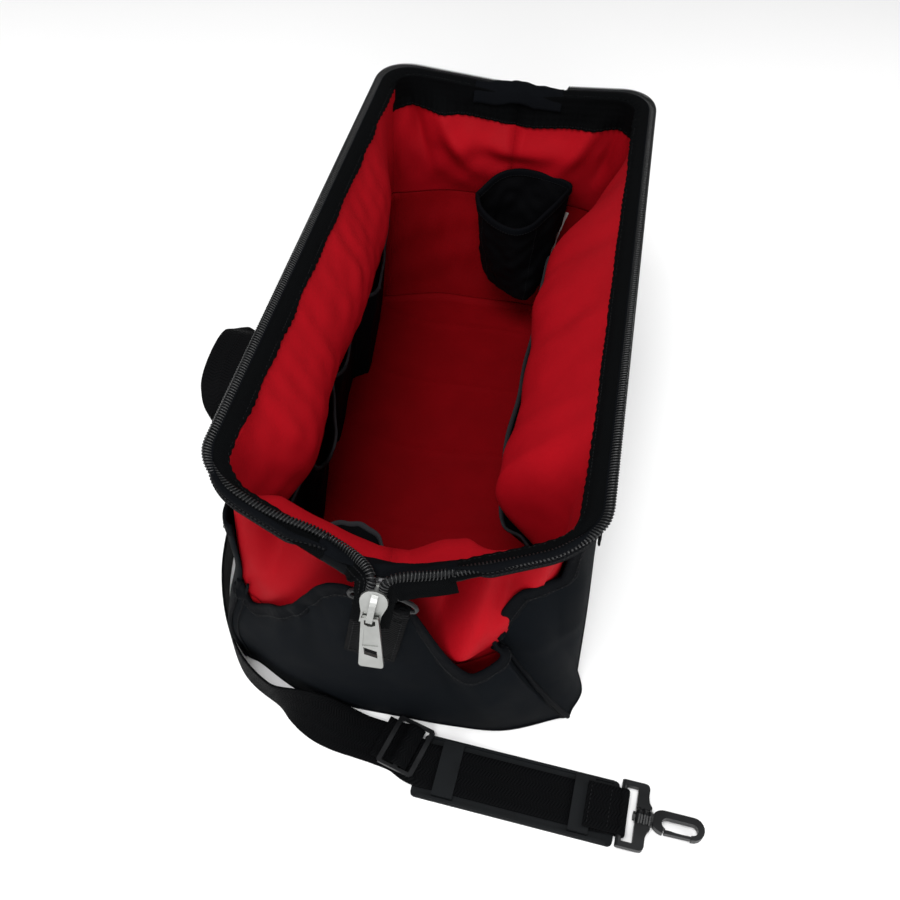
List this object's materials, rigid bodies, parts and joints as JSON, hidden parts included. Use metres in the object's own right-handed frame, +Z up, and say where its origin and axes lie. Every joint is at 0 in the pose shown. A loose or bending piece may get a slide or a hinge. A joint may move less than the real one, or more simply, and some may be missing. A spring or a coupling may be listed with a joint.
{
  "type": "tool_bag",
  "caption": "Open wide-mouth zippered tool bag with wire-framed mouth, inner and outer pockets, tool pouch, grab handles and a padded clip-on shoulder strap",
  "frame": {"origin": "centre of the underside of the base panel, on the plane the bag stands on", "axes": "+Y points away from the zipper slider along the bag's length, +X to the slider's right seen from the slider end, +Z up"},
  "size_m": [0.4599, 0.6924, 0.2883],
  "materials": {
    "black_weave": "coated ballistic weave, slightly blue black",
    "red_lining": "plain woven red lining and shell cloth",
    "board": "stiff polypropylene sheet",
    "black_tape": "herringbone zipper tape",
    "coil_plastic": "moulded nylon coil",
    "black_webbing": "heavy woven webbing",
    "frame_steel": "drawn steel wire",
    "satin_metal": "satin nickel plated cast zinc",
    "black_plastic": "fine grained acetal",
    "pad_rubber": "soft grained moulded pad",
    "white_label": "blank satin label"
  },
  "bodies": {
    "bag": {"base_panel": "black_weave", "base_board": "board", "floor_lining": "red_lining", "near_wall": "red_lining", "right_wall": "red_lining", "far_wall": "red_lining", "left_wall": "red_lining", "near_outer_pocket": "black_weave", "far_outer_pocket": "black_weave", "left_outer_pocket": "black_weave", "right_outer_pocket": "black_weave", "near_left_piping": "black_weave", "near_right_piping": "black_weave", "far_right_piping": "black_weave", "far_left_piping": "black_weave", "near_frame_rivet": "frame_steel", "far_frame_rivet": "frame_steel", "right_upper_panel": "red_lining", "left_upper_panel": "red_lining", "near_upper_panel": "red_lining", "far_upper_panel": "red_lining", "left_inner_pockets": "black_weave", "right_inner_pocket": "black_weave", "near_inner_pocket": "black_weave", "tool_pouch": "black_weave", "blank_label": "white_label", "near_ring_tab": "black_webbing", "far_ring_tab": "black_webbing", "left_zip_tail": "coil_plastic", "right_zip_tail": "coil_plastic", "zip_tail_tape": "black_tape", "far_zip_end_patch": "black_webbing", "far_hook_base": "black_plastic", "strap_webbing": "black_webbing"},
    "left_frame": {"left_frame_wire": "frame_steel", "left_frame_sleeve": "black_tape", "left_zipper_tape": "black_tape", "left_zipper_coil": "coil_plastic"},
    "right_frame": {"right_frame_wire": "frame_steel", "right_frame_sleeve": "black_tape", "right_zipper_tape": "black_tape", "right_zipper_coil": "coil_plastic"},
    "zip_slider": {"slider_body": "satin_metal"},
    "zip_pull": {"pull_tab": "satin_metal"},
    "near_ring": {"near_d_ring": "satin_metal"},
    "far_ring": {"far_d_ring": "satin_metal"},
    "left_carry_handle": {"left_handle": "black_webbing"},
    "right_carry_handle": {"right_handle": "black_webbing"},
    "pad": {"shoulder_pad": "pad_rubber"},
    "glide": {"tri_glide": "black_plastic", "glide_loop_webbing": "black_webbing"},
    "near_hook_base": {"hook_base": "black_plastic"},
    "near_hook": {"swivel_hook": "black_plastic"},
    "near_gate": {"hook_gate": "black_plastic"},
    "far_hook": {"far_swivel_hook": "black_plastic"},
    "far_gate": {"far_hook_gate": "black_plastic"}
  },
  "joints": [
    {"name": "left_frame_swing", "type": "hinge", "parent": "bag", "child": "left_frame", "pos_m": [0, 0, 0.256], "axis": [0, 1, 0], "range_deg": [0, 75.5], "deforming": ["left_upper_panel", "near_upper_panel", "far_upper_panel", "far_zip_end_patch", "left_zip_tail"]},
    {"name": "right_frame_swing", "type": "hinge", "parent": "bag", "child": "right_frame", "pos_m": [0, 0, 0.256], "axis": [0, -1, 0], "range_deg": [0, 75.5], "deforming": ["right_upper_panel", "near_upper_panel", "far_upper_panel", "far_zip_end_patch", "right_zip_tail"]},
    {"name": "slider_travel", "type": "slide", "parent": "bag", "child": "zip_slider", "axis": [0.135, 0.202, 0.97], "range_m": [0, 0.022], "deforming": ["left_zip_tail", "right_zip_tail"]},
    {"name": "pull_tab_swing", "type": "hinge", "parent": "zip_slider", "child": "zip_pull", "pos_m": [-0.00395, -0.3249, 0.244], "axis": [-0.9991, -0.0335, -0.0243], "range_deg": [0, 90]},
    {"name": "near_ring_swing", "type": "hinge", "parent": "bag", "child": "near_ring", "pos_m": [-0.001, -0.306, 0.232], "axis": [0.9874, 0, -0.1581], "range_deg": [0, 20]},
    {"name": "far_ring_swing", "type": "hinge", "parent": "bag", "child": "far_ring", "pos_m": [0, 0.3051, 0.232], "axis": [1, 0, 0], "range_deg": [-1, 1]},
    {"name": "left_handle_lean", "type": "hinge", "parent": "bag", "child": "left_carry_handle", "pos_m": [-0.1348, -0.12, 0.1765], "axis": [0, -1, 0], "range_deg": [0, 40], "stiffness_Nm_per_rad": 0.5},
    {"name": "right_handle_lift", "type": "hinge", "parent": "bag", "child": "right_carry_handle", "pos_m": [0.1453, -0.12, 0.2115], "axis": [0, -1, 0], "range_deg": [0, 80]},
    {"name": "pad_slide", "type": "slide", "parent": "bag", "child": "pad", "axis": [-0.9984, 0.0567, 0], "range_m": [0, 0.002]},
    {"name": "glide_slide", "type": "slide", "parent": "pad", "child": "glide", "axis": [-0.9629, 0.27, 0], "range_m": [0, 0.002]},
    {"name": "hook_base_tilt", "type": "hinge", "parent": "bag", "child": "near_hook_base", "pos_m": [0.1895, -0.3205, 0.0077], "axis": [-0.0567, -0.9984, 0], "range_deg": [0, 60]},
    {"name": "hook_swivel", "type": "hinge", "parent": "near_hook_base", "child": "near_hook", "pos_m": [0.1895, -0.3205, 0.0077], "axis": [0.9984, -0.0567, 0], "continuous": true},
    {"name": "hook_gate_open", "type": "hinge", "parent": "near_hook", "child": "near_gate", "pos_m": [0.22343, -0.32974, 0.0077], "axis": [0, 0, 1], "range_deg": [0, 22], "stiffness_Nm_per_rad": 0.05},
    {"name": "far_hook_swivel", "type": "hinge", "parent": "bag", "child": "far_hook", "pos_m": [0, 0.3148, 0.1524], "axis": [0, 0, 1], "range_deg": [-3, 3]},
    {"name": "far_gate_open", "type": "hinge", "parent": "far_hook", "child": "far_gate", "pos_m": [0, 0.3075, 0.1868], "axis": [-1, 0, 0], "range_deg": [0, 22], "stiffness_Nm_per_rad": 0.05}
  ]
}
